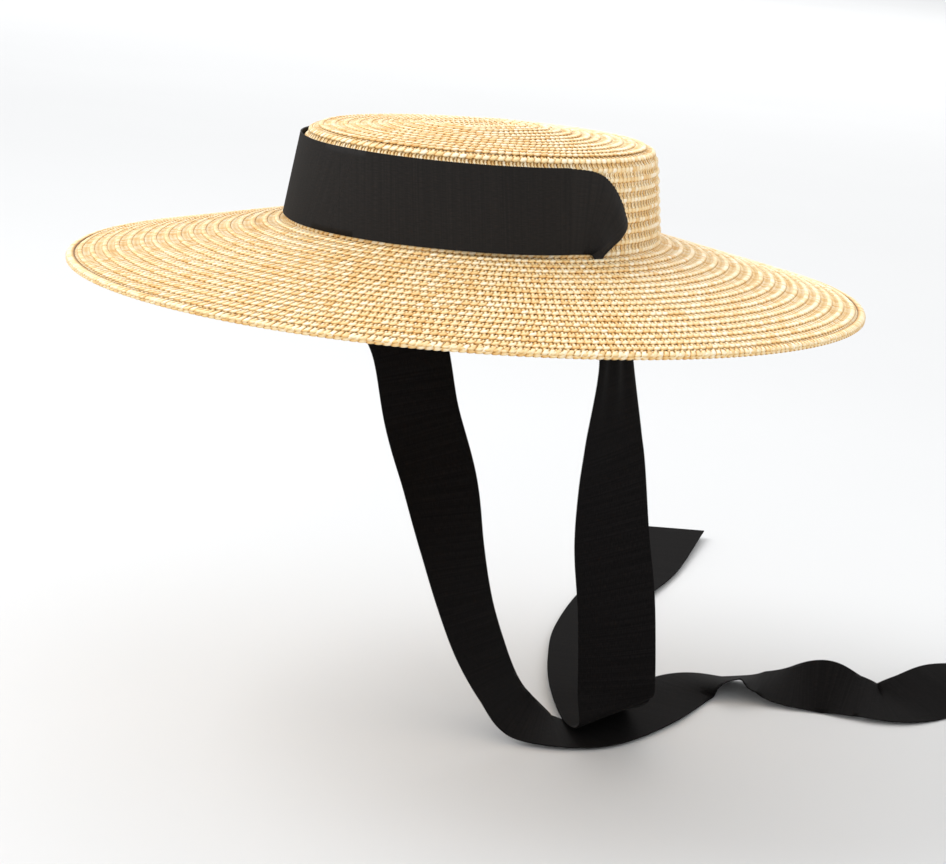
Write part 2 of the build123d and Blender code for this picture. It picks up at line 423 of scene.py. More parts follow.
def plaitRow(cell, name, near, far, bend=0.0):
    # one row round the oval, between its inner edge near and outer edge far, each (offset, height)
    run, fall = far[0] - near[0], near[1] - far[1]
    width = hypot(run, fall)
    slope = atan2(fall, run)
    sink = straw["splintThickness"] * mm
    offset = (near[0] + far[0]) / 2 - sink * sin(slope)
    height = (near[1] + far[1]) / 2 - sink * cos(slope)
    row = copyOf(cell, name)
    spread = (width / 2 + straw["lap"] * mm) / (straw["halfWidth"] * mm)
    loop = ovalLoop(offset, height)
    length = loopLength(loop)
    count = max(round(length / (straw["pitch"] * mm)), 3)
    step = length / count
    row.data.transform(Matrix.Diagonal((step / (straw["pitch"] * mm), spread, 1, 1)))
    row.data.transform(Matrix.Translation((phaseDraw.random() * step, 0, 0)))
    if bend:
        for vertex in row.data.vertices:
            vertex.co.z -= vertex.co.y**2 / (2 * bend)
    row.data.transform(Matrix.Rotation(-slope, 4, "X"))
    repeatStraws(row, count, (step, 0, 0), loop)
    return row


cell = plaitCell()
profile = {
    "tipCoreInset": 66.0,
    "tipMiddle": 4.0,  # the innermost row begins this far from the middle line
    "startExtra": 9.0,  # the straight start's length past the oval's length less its width
    "startSpread": 1.25,
    "startSink": 0.5,
    "shoulderRadius": 7.0,
    "brimDrop": 25.0,
    "coreRows": 3,
    "tipRows": 9,
    "shoulderRows": 2,
    "sideRows": 8,
    "brimRows": 18,  # the last of them is the bound edge
}
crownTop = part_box("crown_side")[1][2]
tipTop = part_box("crown_tip")[1][2]
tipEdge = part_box("crown_tip")[1][0] - oval["halfWidth"]  # where the side ends, inside the foot
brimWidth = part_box("brim_edge_row")[1][0] - oval["halfWidth"]


def rowsBetween(start, end, count):
    # the inner and the outer edge of each row, in even steps from start to end
    edges = []
    for number in range(count + 1):
        share = number / count
        edges.append(tuple(s + (e - s) * share for s, e in zip(start, end)))
    return list(zip(edges, edges[1:]))


def crownTipPlait():
    rows = []
    roll = profile["shoulderRadius"] * mm
    core = (-profile["tipCoreInset"] * mm, tipTop)
    middle = (-oval["halfWidth"] + profile["tipMiddle"] * mm, tipTop)
    rollTop = (tipEdge - roll, crownTop + roll)
    for near, far in rowsBetween(middle, core, profile["coreRows"]):
        rows.append(plaitRow(cell, "tipCoreRow", near, (far[0], far[1] + rowStep)))
    for near, far in rowsBetween(core, rollTop, profile["tipRows"]):
        rows.append(plaitRow(cell, "tipRow", near, (far[0], far[1] + rowStep)))
    for number in range(profile["shoulderRows"]):
        a = pi / 2 * (1 - number / profile["shoulderRows"])
        b = pi / 2 * (1 - (number + 1) / profile["shoulderRows"])
        near = (rollTop[0] + roll * cos(a), crownTop + roll * sin(a))
        far = (rollTop[0] + (roll + rowStep) * cos(b), crownTop + (roll + rowStep) * sin(b))
        rows.append(plaitRow(cell, "shoulderRow", near, far, bend=roll))
    # the plait starts in the middle as one straight length
    start = copyOf(cell, "tipStart")
    pitch = straw["pitch"] * mm
    count = round((2 * oddLength + profile["startExtra"] * mm) / pitch)
    spread = Matrix.Diagonal((1, profile["startSpread"], 1, 1))
    height = tipTop - profile["startSink"] * mm
    start.data.transform(Matrix.Rotation(pi / 2, 4, "Z") @ spread)
    start.data.transform(Matrix.Translation((0, -(count - 1) / 2 * pitch, height)))
    repeatStraws(start, count, (0, pitch, 0))
    rows.append(start)
    piece = joinPieces(rows, "crownTipPlait")
    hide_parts("crown_tip")
    return piece


def crownSidePlait():
    foot, top = (0.0, 0.0), (tipEdge, crownTop)
    rows = []
    for near, far in rowsBetween(top, foot, profile["sideRows"]):
        rows.append(plaitRow(cell, "sideRow", near, (far[0] + rowStep, far[1])))
    piece = joinPieces(rows, "crownSidePlait")
    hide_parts("crown_side")
    return piece


brimRim = (brimWidth, -profile["brimDrop"] * mm)
brimEdges = rowsBetween((0.0, 0.0), brimRim, profile["brimRows"])


def brimPlaits():
    # the sloping brim, in three pieces of about the same amount of plait
    outer = profile["brimRows"] - 1
    groups = (("brimPlaitInner", 0, 7), ("brimPlaitMiddle", 7, 13), ("brimPlaitOuter", 13, outer))
    pieces = []
    for name, first, last in groups:
        rows = []
        for near, far in brimEdges[first:last]:
            rows.append(plaitRow(cell, "brimRow", near, (far[0], far[1] + rowStep)))
        pieces.append(joinPieces(rows, name))
        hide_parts("brim")
    return pieces


edgeRow = {
    "pitch": 2.9,
    "wrapWidth": 2.75,
    "wrapThickness": 0.75,
    "slant": 3.6,
    "lift": 0.1,
    "inset": 0.6,  # the plait ends this far inside the rim
    "sink": 0.5,  # the folds' own line lies this far below the plait's
    "underDrop": 1.3,  # the plait on the underside lies this far below the one on top
    # the fold that wraps the brim's edge: distance out from the row's middle, and height
    "wrap": (
        (-1.2, 0.1), (0.8, 0.55), (2.2, 0.4), (2.8, -0.35), (2.2, -1.15), (0.8, -1.4), (-1.2, -1.2),
    ),
    "endSlim": 0.7,  # the fold's two ends are this much slimmer
    # painted shade on each ring of the fold: darkest at its two ends, more on its underside than on
    # top, and more again at its edges
    "gapShades": (1.0, 0.15, 0.0, 0.1, 0.4, 0.6, 1.0),
    "edgeShade": 0.75,
}
hexHeight = 0.866  # a six-sided straw's thickness over its width


def edgeFold():
    # one straw of the bound last row, folded round the brim's edge at a slant
    deselectAll()
    count = len(edgeRow["wrap"])
    bpy.ops.mesh.primitive_cylinder_add(vertices=6, radius=0.5, depth=count - 1)
    fold = bpy.context.object
    fold.name = "edgeFold"
    selectWhere(fold, edgeTest=lambda e: abs(e.verts[0].co.z - e.verts[1].co.z) > 1)
    bpy.ops.mesh.subdivide(number_cuts=count - 2)
    bpy.ops.object.mode_set(mode="OBJECT")
    wrap = [Vector((0, y * mm, z * mm)) for y, z in edgeRow["wrap"]]
    # the fold's painted shade, ring by ring
    depth = fold.data.attributes.new("strawGapShade", "FLOAT", "POINT")
    for vertex in fold.data.vertices:
        # each ring of the straw is laid square across the fold at its own station
        station = round(vertex.co.z + (count - 1) / 2)
        before, after = wrap[max(station - 1, 0)], wrap[min(station + 1, count - 1)]
        along = (after - before).normalized()
        outward = Vector((0, -along.z, along.y))
        slim = edgeRow["endSlim"] if station in (0, count - 1) else 1
        thick, wide = edgeRow["wrapThickness"] * mm * slim, edgeRow["wrapWidth"] * mm * slim
        place = wrap[station] + outward * vertex.co.x * thick / hexHeight
        lead = edgeRow["slant"] * mm * (station / (count - 1) - 0.5)
        # the straw's edges get more painted shade
        sideShade = edgeRow["edgeShade"] * (abs(vertex.co.y) * 2) ** 3
        depth.data[vertex.index].value = min(edgeRow["gapShades"][station] + sideShade, 1)
        vertex.co = place + Vector((vertex.co.y * wide + lead, 0, 0))
    faceOutwards(fold)
    return fold


def brimEdgeRow():
    near, far = brimEdges[-1]
    lift, drop = edgeRow["lift"] * mm, edgeRow["underDrop"] * mm
    near, far = (near[0], near[1] + lift), (far[0] - edgeRow["inset"] * mm, far[1] + lift)
    top = plaitRow(cell, "edgeTopRow", near, far)
    under = plaitRow(cell, "edgeUnderRow", (near[0], near[1] - drop), (far[0], far[1] - drop))
    fold = edgeFold()
    slope = atan2(near[1] - far[1], far[0] - near[0])
    loop = ovalLoop((near[0] + far[0]) / 2, (near[1] + far[1]) / 2 - edgeRow["sink"] * mm)
    length = loopLength(loop)
    count = round(length / (edgeRow["pitch"] * mm))
    fold.data.transform(Matrix.Rotation(-slope, 4, "X"))
    fold.data.attributes.new("splintTone", "FLOAT", "POINT")
    repeatStraws(fold, count, (length / count, 0, 0), loop)
    piece = joinPieces([top, under, fold], "brimEdgePlait")
    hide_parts("brim_edge_row")
    return piece


crownTip = crownTipPlait()
crownSide = crownSidePlait()
brimPieces = brimPlaits()
brimEdge = brimEdgeRow()
removePiece(cell)
strawPieces = [crownTip, crownSide, *brimPieces, brimEdge]
print("straw plait sewn:", [(piece.name, len(piece.data.polygons)) for piece in strawPieces])


# ribbon: one length of black grosgrain, as a band and two ties
ribbon = {
    "width": 41.0,
    "thickness": 0.9,
    "ribSpacing": 1.0,  # one weft rib to the next
    "ribDepth": 0.45,  # share of the thickness left between two ribs
    "scallop": 0.25,  # the edge dips by this much between two ribs
    "lift": 1.2,
    "clearance": 0.8,
    "acrossSteps": 12,
    "slitShare": 34 / 41,
}


def ribbonStrip(name, ribCount, place, plainEnds=0):
    # a ribbed strip: place(along, across) gives a point for along 0..1 and across -1..1.
    # plainEnds counts the ribs at each end that are pulled flat
    rows = ribCount * 2
    deselectAll()
    steps = ribbon["acrossSteps"]
    bpy.ops.mesh.primitive_grid_add(x_subdivisions=steps, y_subdivisions=rows, size=1)
    strip = bpy.context.object
    strip.name = strip.data.name = name
    ribs = strip.vertex_groups.new(name="ribs")
    crests = []
    width = ribbon["width"] * mm
    for vertex in strip.data.vertices:
        rib = round((vertex.co.y + 0.5) * rows)
        across = vertex.co.x * 2
        if rib % 2 or min(rib, rows - rib) < 2 * plainEnds:
            crests.append(vertex.index)
        elif abs(across) > 0.99:
            across *= 1 - 2 * ribbon["scallop"] / ribbon["width"]
        vertex.co = place(rib / rows, across)
    ribs.add(crests, 1, "REPLACE")
    length = ribCount * ribbon["ribSpacing"] * mm
    for loop in strip.data.uv_layers[0].data:  # the weave's own map, in metres
        loop.uv = (loop.uv[0] * width, loop.uv[1] * length)
    solid = strip.modifiers.new("thickness", "SOLIDIFY")
    solid.thickness = ribbon["thickness"] * mm
    solid.offset = 0
    solid.vertex_group = "ribs"
    solid.thickness_vertex_group = ribbon["ribDepth"]
    applyModifiers(strip)
    strip.vertex_groups.clear()
    bpy.ops.object.shade_smooth_by_angle(angle=radians(75))
    return strip


def smoothThrough(points, place):
    # a point on the smooth line through the points, at a place that counts them from 0
    last = len(points) - 1
    n = min(int(place), last - 1)
    t = place - n
    a, b = points[n], points[n + 1]
    before = points[n - 1] if n else a * 2 - b
    after = points[n + 2] if n + 2 <= last else b * 2 - a
    inLean, outLean = (b - before) / 2, (after - a) / 2
    t2, t3 = t * t, t * t * t
    near = a * (2 * t3 - 3 * t2 + 1) + inLean * (t3 - 2 * t2 + t)
    return near + b * (3 * t2 - 2 * t3) + outLean * (t3 - t2)


leftFront = (0.67, -0.74, 0)
up = (0, 0, 1)
# stations of each tie: x from its slit, y, z, share of the full width, and the way its face looks
leftTieRoute = (
    (0, 0, -1, 0, (1, 0, 0)),
    (0, 0, -8, 0, (1, 0, 0)),
    (2, 3, -26, 0.88, (0.98, 0.17, 0)),
    (4.5, 6, -50, 0.92, (0.97, 0.26, 0)),
    (4, 11, -90, 1, (1, -0.03, 0)),
    (2, 16, -112, 1, (0.97, -0.24, 0)),
    (-2, 26, -147, 1, (0.88, -0.47, 0)),
    (-4, 37, -180, 1, (0.81, -0.59, 0)),
    (-8, 47, -208, 1, (0.77, -0.64, 0)),
    (-10, 53, -234, 1, (0.75, -0.66, 0)),
    (-10, 54, -250, 1, (0.85, -0.35, -0.39)),
    (-17, 58, -256, 1, (0.45, -0.25, -0.85)),
    (-37, 73, -258, 1, (0.05, 0.03, -1)),
    (-70, 103, -258.3, 1, (-0.02, 0.02, -1)),
    (-105, 142, -260, 1, (-0.05, 0.02, -1)),
    (-142, 190, -261, 1, (-0.03, 0, -1)),
    (-184, 262, -260.5, 1, (0.04, -0.03, -1)),
    (-217, 338, -261, 1, (0.02, 0.02, -1)),
    (-268, 433, -259, 1, (0.05, 0.06, -1)),
)
rightTieRoute = (
    (0, 0, -1, 0, (1, 0, 0)),
    (0, 0, -8, 0, (1, 0, 0)),
    (6, 5, -26, 0.88, (0.98, -0.17, 0)),
    (17, 13, -50, 0.96, (0.88, -0.47, 0)),
    (30, 21, -74, 1, (0.72, -0.69, 0)),
    (45, 20, -110, 1, leftFront),
    (65, 17, -141, 1, (0.82, -0.54, 0.21)),
    (81, 13.5, -171, 1, (0.94, -0.22, 0.27)),
    (94.5, 12.5, -198, 1, (0.93, -0.03, 0.35)),
    (107, 14, -221, 1, (0.89, 0.05, 0.46)),
    (120, 17, -240, 1, (0.77, 0.13, 0.62)),
    (132, 22.5, -253, 1, (0.59, 0.04, 0.81)),
    (148, 36, -259.5, 1, (0.1, 0, 1)),
    (156, 57, -261, 1, up),
    (150, 104, -261, 1, up),
    (136, 158, -260.5, 1, up),
    (149, 183, -256, 1, (-0.2, 0.21, 0.96)),
    (163, 193, -256, 1, up),
    (179, 200, -254.5, 1, (0.21, -0.23, 0.95)),
    (195, 210, -252.5, 1, (0.33, -0.37, 0.87)),
    (211, 219, -255, 1, (0.2, -0.21, 0.95)),
    (225, 229, -257, 1, (0.14, -0.15, 0.97)),
    (231, 250, -256, 1, (0.3, -0.1, 0.94)),
    (232, 282, -254, 1, (0.3, -0.1, 0.94)),
    (237, 318, -256, 1, (0.2, -0.1, 0.97)),
)
slitX = oval["halfWidth"] + 1.9 * mm
ties = {
    "cup": 0.7,  # the ribbon's edges curl back by this much from its middle
    "cupFrom": 10.0,  # height over the floor where the curl begins, and the rise to all of it
    "cupRise": 25.0,
    "pleat": 1.6,  # depth of the folds where the ribbon is bunched under its slit
    "pleatWaves": 2.5,
    "pleatGain": 6,  # brings the bunched ribbon's missing width to about one
    "pleatFrom": 3.0,  # drop under the slit where the folds begin, and the run to all of them
    "pleatRun": 12.0,
    "foldTilt": 13.0,  # the left tie's fold on the floor stands this much higher at one edge
    "foldStation": 10.6,
    "foldReach": 2,  # stations either side that the tilt fades over
}


def tieStrip(name, route, side, foldTilt=0.0):
    centres = [Vector((side * slitX + x * mm, y * mm, z * mm)) for x, y, z, *rest in route]
    acrosses, shares = [], []
    for number, (x, y, z, share, facing) in enumerate(route):
        along = centres[min(number + 1, len(route) - 1)] - centres[max(number - 1, 0)]
        acrosses.append(Vector(facing).cross(along).normalized())
        shares.append(Vector((share or ribbon["slitShare"], 0, 0)))
    # even steps along the smooth line
    fine = 40  # short runs between two stations
    glance = 0.02  # how far ahead and behind the line's direction is taken, in stations
    places = [n / fine for n in range((len(route) - 1) * fine + 1)]
    line = [smoothThrough(centres, place) for place in places]
    runs = [0.0]
    for a, b in zip(line, line[1:]):
        runs.append(runs[-1] + (b - a).length)
    length = runs[-1]

    def at(run):
        low, high = 0, len(runs) - 1
        while high - low > 1:
            middle = (low + high) // 2
            low, high = (middle, high) if runs[middle] <= run else (low, middle)
        return places[low] + (run - runs[low]) / max(runs[high] - runs[low], 1e-9) / fine

    def place(along, across):
        spot = at(along * length)
        centre = smoothThrough(centres, spot)
        ahead = smoothThrough(centres, min(spot + glance, len(route) - 1))
        behind = smoothThrough(centres, max(spot - glance, 0))
        forward = (ahead - behind).normalized()
        broad = smoothThrough(acrosses, spot)
        broad = (broad - forward * broad.dot(forward)).normalized()
        normal = forward.cross(broad)
        share = min(smoothThrough(shares, spot).x, 1)
        half = ribbon["width"] * mm * share / 2
        height = (centre.z - cadBox[0][2]) / mm
        hanging = min(max((height - ties["cupFrom"]) / ties["cupRise"], 0), 1)
        cup = -ties["cup"] * mm * (across * across - 0.4) * hanging
        start = min(max((-centre.z / mm - ties["pleatFrom"]) / ties["pleatRun"], 0), 1)
        bunched = start * (1 - share) * ties["pleatGain"]
        pleat = ties["pleat"] * mm * bunched * cos(ties["pleatWaves"] * pi * across)
        near = max(1 - ((spot - ties["foldStation"]) / ties["foldReach"]) ** 2, 0)
        tilt = Vector((0, 0, foldTilt * mm * near * near * (across + 1) / 2))
        return centre + broad * across * half + normal * (cup + pleat) + tilt

    strip = ribbonStrip(name, round(length / (ribbon["ribSpacing"] * mm)), place)
    print(name, "length", round(length, 4))
    return strip


tieLeft = tieStrip("tieLeft", leftTieRoute, 1, ties["foldTilt"])
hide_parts("ribbon_tie_left")
tieRight = tieStrip("tieRight", rightTieRoute, -1)
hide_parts("ribbon_tie_right")

band = {
    "lean": 5.3 / 40,  # the crown's side leans in by this much for its height
    "standOff": 1.0,  # about how far the ribbon's middle lies outside the crown
    "turnLength": 48.0,  # ribbon in each turned end
    "plainEnds": 26,  # ribs at each end that are pulled flat
    # the turned end, seen from the side: the lower and the upper edge of the ribbon, each as
    # (y from the middle of the side, z, distance out), and how far the ribbon bulges between them
    "end": (
        ((-28, 1.2, 0), (-28, 42.2, 0), 0),
        ((-20, 1.2, 0), (-12.5, 40.6, 0.2), 0.4),
        ((-17, 1.2, 0), (-2.8, 36.5, 0.6), 1.0),
        ((-15, 1.1, 0), (5.8, 27.5, 1.0), 1.6),
        ((-14, 1.0, 0), (11.6, 15.5, 1.0), 2.0),
        ((-13.5, 0.6, 0.1), (9.2, 10.5, 0.5), 1.8),
        ((-13, 0, 0.2), (1.5, 5.6, 0.4), 1.2),
        ((-12.5, -1, 0.5), (-6.5, 0.2, 0.5), 0.6),
        ((-12, -3, 0.8), (-7.5, -3, 0.7), 0.3),
    ),
    "slack": 2.4,  # the ribbon stands off the crown by this much more at its two front corners
    "slackPlace": -62,  # how far before the middle of the side
    "slackReach": 45,
    "slackTaper": 0.4,  # share of it that is gone at the upper edge
    "bulgeFlat": 0.35,  # flattens the bulge in the middle of the ribbon
}


def bandPoint(sideways, y, z, out):
    # a point that stands off the crown's leaning side; y runs along the oval, away from the front
    offset = (ribbon["clearance"] + ribbon["thickness"] / 2) * mm - z * band["lean"] + out
    turned = y / (sideRadius + offset)
    if turned > -sideHalfAngle:
        point = Vector((sideRadius + offset, 0, 0))
        point.rotate(Matrix.Rotation(turned, 3, "Z"))
        point.x -= sideCentre
    else:
        rest = (-sideHalfAngle * (sideRadius + offset) - y) / (endRadius + offset)
        facing = -sideHalfAngle - rest
        point = Vector((endRadius + offset, 0, 0))
        point.rotate(Matrix.Rotation(facing, 3, "Z"))
        point.y -= endCentre
    return Vector((sideways * point.x, point.y, z))


def bandStrip():
    endKeys = band["end"]
    lows = [Vector(low) * mm for low, high, bulge in endKeys]
    highs = [Vector(high) * mm for low, high, bulge in endKeys]
    bulges = [Vector((bulge * mm, 0, 0)) for low, high, bulge in endKeys]
    start = endKeys[0][0][0] * mm
    off = band["standOff"] * mm
    quarter = sideHalfAngle * (sideRadius + off) + (pi / 2 - sideHalfAngle) * (endRadius + off)
    plain = quarter + start  # from the middle of the front to where the end begins to turn
    turnLength = band["turnLength"] * mm
    length = 2 * (plain + turnLength)

    def place(along, across):
        run = (along - 0.5) * length
        sideways = 1 if run > 0 else -1
        run = abs(run)
        share = (across + 1) / 2
        if run <= plain:
            z = ribbon["lift"] * mm + share * ribbon["width"] * mm
            near = (run - quarter - band["slackPlace"] * mm) / (band["slackReach"] * mm)
            slack = band["slack"] * mm * max(1 - near * near, 0) ** 2
            slack *= 1 - band["slackTaper"] * share
            return bandPoint(sideways, run - quarter, z, slack)
        spot = (run - plain) / turnLength * (len(endKeys) - 1)
        low, high = smoothThrough(lows, spot), smoothThrough(highs, spot)
        bulge = smoothThrough(bulges, spot).x
        y, z, out = low + (high - low) * share
        out += bulge * (sin(pi * share) + band["bulgeFlat"] * sin(3 * pi * share))
        return bandPoint(sideways, y, z, out)

    ribCount = round(length / (ribbon["ribSpacing"] * mm))
    strip = ribbonStrip("ribbonBand", ribCount, place, band["plainEnds"])
    print("band length", round(length, 4))
    return strip


ribbonBand = bandStrip()
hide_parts("ribbon_band")
print("ribbon threaded")


# inside the crown: sweatband, its cover tape, the blank label and the sewing
lining = {
    "sweatbandHeight": 28.0,
    "sweatbandThickness": 1.0,
    "sweatbandShare": 0.8,  # the cotton is drawn at this share of that thickness
    "sweatbandWave": 0.15,
    "ripples": (23, 9),  # half waves on each side of the back, quick ones and slow ones
    "slowRipple": 0.6,
    "meanRadius": 92.0,  # of the crown, for the weave's own map
    "edgeRoll": 0.15,  # the long edges roll by this much
    "edgeShare": 0.1,  # over this share of the height
    "softEdge": 0.3,  # bevel, as a share of the thickness
    "strawThickness": 2.2,
    "gap": 0.2,
    "tapeWidth": 16.0,
    "tapeThickness": 0.6,
    "labelWidth": 42.0,
    "labelHeight": 20.0,
    "labelThickness": 0.4,
    "roundSteps": 200,
}


def liningStrip(name, low, high, inset, thickness, halfAngle, alongSteps, wave=0.0):
    # a strip that stands against the crown's inner face, centred on the back, and leans with it
    deselectAll()
    bpy.ops.mesh.primitive_grid_add(x_subdivisions=alongSteps, y_subdivisions=10, size=1)
    strip = bpy.context.object
    strip.name = strip.data.name = name
    for vertex in strip.data.vertices:
        turn, share = vertex.co.x * 2, vertex.co.y + 0.5
        z = (low + (high - low) * share) * mm
        quick, slow = (sin(turn * waves * pi) for waves in lining["ripples"])
        soft = wave * mm * (quick * share**2 + lining["slowRipple"] * slow * share)
        rolled = max(1 - min(share, 1 - share) / lining["edgeShare"], 0)
        offset = -(lining["strawThickness"] + inset + thickness / 2) * mm - z * band["lean"] - soft
        offset += lining["edgeRoll"] * mm * rolled
        place = ovalPoint(pi / 2 + turn * halfAngle, offset)
        vertex.co = (place.x, place.y, z)
    across = 2 * halfAngle * lining["meanRadius"] * mm
    for loop in strip.data.uv_layers[0].data:
        loop.uv = (loop.uv[0] * across, loop.uv[1] * (high - low) * mm)
    if halfAngle == pi:
        bpy.ops.object.mode_set(mode="EDIT")
        bpy.ops.mesh.select_all(action="SELECT")
        bpy.ops.mesh.remove_doubles(threshold=0.01 * mm)
        bpy.ops.object.mode_set(mode="OBJECT")
    solid = strip.modifiers.new("thickness", "SOLIDIFY")
    solid.thickness = thickness * mm
    solid.offset = 0
    soften = strip.modifiers.new("softEdge", "BEVEL")
    soften.width = thickness * mm * lining["softEdge"]
    soften.segments = 2
    soften.limit_method = "ANGLE"
    soften.angle_limit = radians(60)
    applyModifiers(strip)
    bpy.ops.object.shade_smooth_by_angle(angle=radians(60))
    return strip


tapeInset = lining["gap"] + lining["sweatbandThickness"]
labelInset = tapeInset + lining["tapeThickness"]
labelLow = (lining["sweatbandHeight"] - lining["labelHeight"]) / 2
backRadius = endRadius / mm - lining["strawThickness"]
tapeTurn = lining["tapeWidth"] / 2 / backRadius
labelTurn = lining["labelWidth"] / 2 / backRadius
sweatband = liningStrip(
    "cottonSweatband",
    0,
    lining["sweatbandHeight"],
    lining["gap"],
    lining["sweatbandThickness"] * lining["sweatbandShare"],
    pi,
    lining["roundSteps"],
    lining["sweatbandWave"],
)
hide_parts("sweatband")
joinTape = liningStrip(
    "sweatbandJoinTape",
    0,
    lining["sweatbandHeight"],
    tapeInset,
    lining["tapeThickness"],
    tapeTurn,
    16,
)
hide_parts("sweatband_join_tape")
label = liningStrip(
    "blankLabel",
    labelLow,
    labelLow + lining["labelHeight"],
    labelInset,
    lining["labelThickness"],
    labelTurn,
    24,
)
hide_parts("blank_label")

sewing = {
    "stitchLength": 4.0,
    "stitchThickness": 0.5,
    "spacing": 8.0,
    "height": 2.5,
    "stitchProud": 0.1,  # how far a stitch's middle stands off the cotton
    "tackLength": 2.6,
    "tackShares": (0.35, 0.7),  # heights, as shares of the ribbon's width
    "tackProud": 0.2,
}


def sewingStitch(name, length):
    # one stitch of thread: thick in the middle and pulled in where it goes through the cloth
    thick = sewing["stitchThickness"] * mm
    deselectAll()
    bpy.ops.mesh.primitive_cylinder_add(vertices=6, radius=thick / 2, depth=length * mm)
    stitch = bpy.context.object
    stitch.name = name
    long = length * mm / 2
    selectWhere(stitch, edgeTest=lambda e: abs(e.verts[0].co.z - e.verts[1].co.z) > long)
    bpy.ops.mesh.subdivide(number_cuts=3)
    for end in (-1, 1):
        selectWhere(stitch, vertTest=lambda v: v.co.z * end > length * mm * 0.4)
        bpy.ops.transform.resize(value=(0.5, 0.5, 1), center_override=(0, 0, end * length * mm / 2))
        bpy.ops.transform.translate(value=(-thick * 0.5, 0, 0))
    bpy.ops.object.mode_set(mode="OBJECT")
    bpy.ops.object.shade_smooth()
    return stitch


def sweatbandStitches():
    stitch = sewingStitch("stitch", sewing["stitchLength"])
    stitch.data.transform(Matrix.Rotation(pi / 2, 4, "X") @ Matrix.Rotation(pi, 4, "Z"))
    inset = lining["strawThickness"] + lining["gap"] + lining["sweatbandThickness"]
    inset += sewing["stitchProud"]
    offset = -inset * mm - sewing["height"] * mm * band["lean"]
    loop = ovalLoop(offset, sewing["height"] * mm)
    total = loopLength(loop)
    count = round(total / (sewing["spacing"] * mm))
    clear = (lining["tapeWidth"] / 2 + sewing["stitchLength"]) * mm
    stitches = []
    run, number = 0.0, 0
    for a, b in zip(loop, loop[1:] + loop[:1]):
        gone = (b - a).length
        while number < count and (number + 0.5) * total / count <= run + gone:
            spot = (number + 0.5) * total / count
            number += 1
            if clear < spot < total - clear:
                place = a + (b - a) * (spot - run) / gone
                twin = copyOf(stitch, "stitchTwin")
                facing = atan2(b.y - a.y, b.x - a.x) + pi / 2
                twin.data.transform(Matrix.Translation(place) @ Matrix.Rotation(facing, 4, "Z"))
                stitches.append(twin)
        run += gone
    removePiece(stitch)
    piece = joinPieces(stitches, "sweatbandStitches")
    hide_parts("sweatband_stitching")
    return piece


def ribbonTacks():
    tack = sewingStitch("tack", sewing["tackLength"])
    tacks = []
    for side in (1, -1):
        for share in sewing["tackShares"]:
            z = (ribbon["lift"] + ribbon["width"] * share) * mm
            off = (ribbon["clearance"] + ribbon["thickness"] + sewing["tackProud"]) * mm
            out = oval["halfWidth"] + off - z * band["lean"]
            twin = copyOf(tack, "tackTwin")
            if side < 0:
                twin.data.transform(Matrix.Rotation(pi, 4, "Z"))
            tilt = Matrix.Rotation(-side * band["lean"], 4, "Y")
            twin.data.transform(Matrix.Translation((side * out, 0, z)) @ tilt)
            tacks.append(twin)
    removePiece(tack)
    piece = joinPieces(tacks, "ribbonTacks")
    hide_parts("ribbon_tacks")
    return piece


stitches = sweatbandStitches()
tacks = ribbonTacks()
print("lining sewn in")


